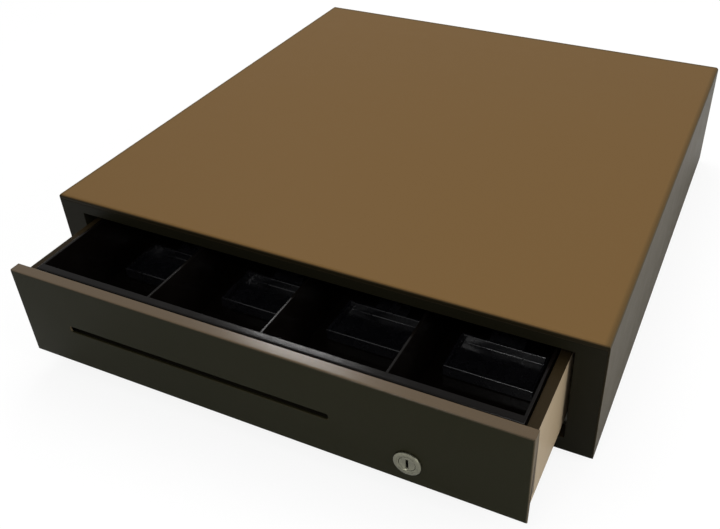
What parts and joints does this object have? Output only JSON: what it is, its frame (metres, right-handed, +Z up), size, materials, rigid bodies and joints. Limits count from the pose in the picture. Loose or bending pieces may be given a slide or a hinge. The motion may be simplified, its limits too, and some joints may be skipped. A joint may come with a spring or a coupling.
{
  "type": "cash drawer",
  "caption": "Steel cash drawer that slides on rollers, with a lift-out till, sprung note clips, coin cups, a media slot, a key lock and a solenoid latch.",
  "frame": {"origin": "under the middle of the whole object as it stands with its drawer 72 mm open, on the surface that its feet rest on", "axes": "+Z up, the drawer's front faces -Y, +X to the right of someone facing the drawer"},
  "size_m": [0.41, 0.4884, 0.1],
  "materials": {
    "painted_steel": "semi-gloss dark bronze powder coat",
    "zinc_steel": "zinc plated sheet",
    "bright_steel": "plated, bright",
    "spring_steel": "drawn wire",
    "lock_chrome": "satin nickel plate",
    "till_plastic": "glossy moulded black",
    "roller_nylon": "natural nylon",
    "black_rubber": "matt",
    "coil_winding": "yellow winding tape",
    "black_plastic": "moulded",
    "green_board": "solder mask",
    "lead_pvc": "soft sleeving"
  },
  "bodies": {
    "case": {"top_cover": "painted_steel", "front_frame": "painted_steel", "base_plate": "painted_steel", "rear_panel": "painted_steel", "rubber_feet": "black_rubber", "base_screws": "bright_steel", "rear_screws": "bright_steel", "runner_right": "zinc_steel", "runner_left": "zinc_steel", "front_roller_bracket_right": "zinc_steel", "front_roller_bracket_left": "zinc_steel", "runner_bumpers": "black_rubber", "front_roller_pins": "bright_steel", "lock_keeper": "zinc_steel", "latch_bracket": "zinc_steel", "bracket_screws": "bright_steel", "latch_pivot_pin": "bright_steel", "latch_return_spring": "spring_steel", "solenoid_frame": "zinc_steel", "solenoid_coil": "coil_winding", "ejector_guide": "zinc_steel", "ejector_spring": "spring_steel", "drawer_switch": "black_plastic", "interface_socket": "black_plastic", "socket_board": "green_board", "board_standoffs": "zinc_steel", "solenoid_lead": "lead_pvc"},
    "drawer": {"front_panel": "painted_steel", "panel_studs": "bright_steel", "panel_nuts": "bright_steel", "drawer_box": "painted_steel", "till": "till_plastic", "coin_tray": "till_plastic", "strike_plate": "zinc_steel", "strike_screws": "bright_steel", "bill_clip_pins": "bright_steel", "bill_clip_spring_1": "spring_steel", "bill_clip_spring_2": "spring_steel", "bill_clip_spring_3": "spring_steel", "bill_clip_spring_4": "spring_steel", "lock_body": "lock_chrome", "lock_nut": "lock_chrome", "rear_roller_pins": "bright_steel"},
    "lock_plug": {"lock_core": "lock_chrome", "lock_cam": "lock_chrome", "cam_screw": "bright_steel"},
    "latch": {"latch_lever": "zinc_steel"},
    "plunger": {"solenoid_plunger": "bright_steel", "plunger_pin": "bright_steel"},
    "switch_arm": {"switch_lever": "bright_steel"},
    "bill_clip_1": {"bill_clip_1": "till_plastic"},
    "bill_clip_2": {"bill_clip_2": "till_plastic"},
    "bill_clip_3": {"bill_clip_3": "till_plastic"},
    "bill_clip_4": {"bill_clip_4": "till_plastic"},
    "front_roller_right": {"front_roller_right": "roller_nylon"},
    "rear_roller_right": {"rear_roller_right": "roller_nylon"},
    "front_roller_left": {"front_roller_left": "roller_nylon"},
    "rear_roller_left": {"rear_roller_left": "roller_nylon"}
  },
  "joints": [
    {"name": "drawer_slide", "type": "slide", "parent": "case", "child": "drawer", "axis": [0, -1, 0], "range_m": [-0.072, 0.2], "deforming": ["ejector_spring"]},
    {"name": "bill_clip_1_hinge", "type": "hinge", "parent": "drawer", "child": "bill_clip_1", "pos_m": [-0.1305, -0.05375, 0.068], "axis": [-1, 0, 0], "range_deg": [0, 20], "stiffness_Nm_per_rad": 0.03, "springref_deg": -57.3, "deforming": ["bill_clip_spring_1"]},
    {"name": "bill_clip_2_hinge", "type": "hinge", "parent": "drawer", "child": "bill_clip_2", "pos_m": [-0.0435, -0.05375, 0.068], "axis": [-1, 0, 0], "range_deg": [0, 20], "stiffness_Nm_per_rad": 0.03, "springref_deg": -57.3, "deforming": ["bill_clip_spring_2"]},
    {"name": "bill_clip_3_hinge", "type": "hinge", "parent": "drawer", "child": "bill_clip_3", "pos_m": [0.0435, -0.05375, 0.068], "axis": [-1, 0, 0], "range_deg": [0, 20], "stiffness_Nm_per_rad": 0.03, "springref_deg": -57.3, "deforming": ["bill_clip_spring_3"]},
    {"name": "bill_clip_4_hinge", "type": "hinge", "parent": "drawer", "child": "bill_clip_4", "pos_m": [0.1305, -0.05375, 0.068], "axis": [-1, 0, 0], "range_deg": [0, 20], "stiffness_Nm_per_rad": 0.03, "springref_deg": -57.3, "deforming": ["bill_clip_spring_4"]},
    {"name": "lock_turn", "type": "hinge", "parent": "drawer", "child": "lock_plug", "pos_m": [0.109, -0.23075, 0.033], "axis": [0, 1, 0], "range_deg": [0, 90]},
    {"name": "front_roller_right_spin", "type": "hinge", "parent": "case", "child": "front_roller_right", "pos_m": [0.1795, -0.14675, 0.013], "axis": [1, 0, 0], "range_deg": [-600, 1650]},
    {"name": "rear_roller_right_spin", "type": "hinge", "parent": "drawer", "child": "rear_roller_right", "pos_m": [0.19, 0.08625, 0.05], "axis": [1, 0, 0], "range_deg": [-520, 1440]},
    {"name": "front_roller_left_spin", "type": "hinge", "parent": "case", "child": "front_roller_left", "pos_m": [-0.1795, -0.14675, 0.013], "axis": [1, 0, 0], "range_deg": [-600, 1650]},
    {"name": "rear_roller_left_spin", "type": "hinge", "parent": "drawer", "child": "rear_roller_left", "pos_m": [-0.19, 0.08625, 0.05], "axis": [1, 0, 0], "range_deg": [-520, 1440]},
    {"name": "latch_pivot", "type": "hinge", "parent": "case", "child": "latch", "pos_m": [0.008, 0.21425, 0.048], "axis": [0, 0, -1], "range_deg": [0, 14], "stiffness_Nm_per_rad": 0.05, "springref_deg": -22.92, "deforming": ["latch_return_spring"]},
    {"name": "plunger_slide", "type": "slide", "parent": "case", "child": "plunger", "axis": [-1, 0, 0], "range_m": [0, 0.0045]},
    {"name": "switch_arm_hinge", "type": "hinge", "parent": "case", "child": "switch_arm", "pos_m": [-0.067, 0.18125, 0.039], "axis": [0, 0, -1], "range_deg": [0, 12], "stiffness_Nm_per_rad": 0.002, "springref_deg": -17.19}
  ],
  "couplings": [
    {"joint": "front_roller_right_spin", "follows": "drawer_slide", "rad_per_m": 142.86},
    {"joint": "rear_roller_right_spin", "follows": "drawer_slide", "rad_per_m": 125},
    {"joint": "front_roller_left_spin", "follows": "drawer_slide", "rad_per_m": 142.86},
    {"joint": "rear_roller_left_spin", "follows": "drawer_slide", "rad_per_m": 125},
    {"joint": "plunger_slide", "follows": "latch_pivot", "m_per_rad": 0.017}
  ]
}
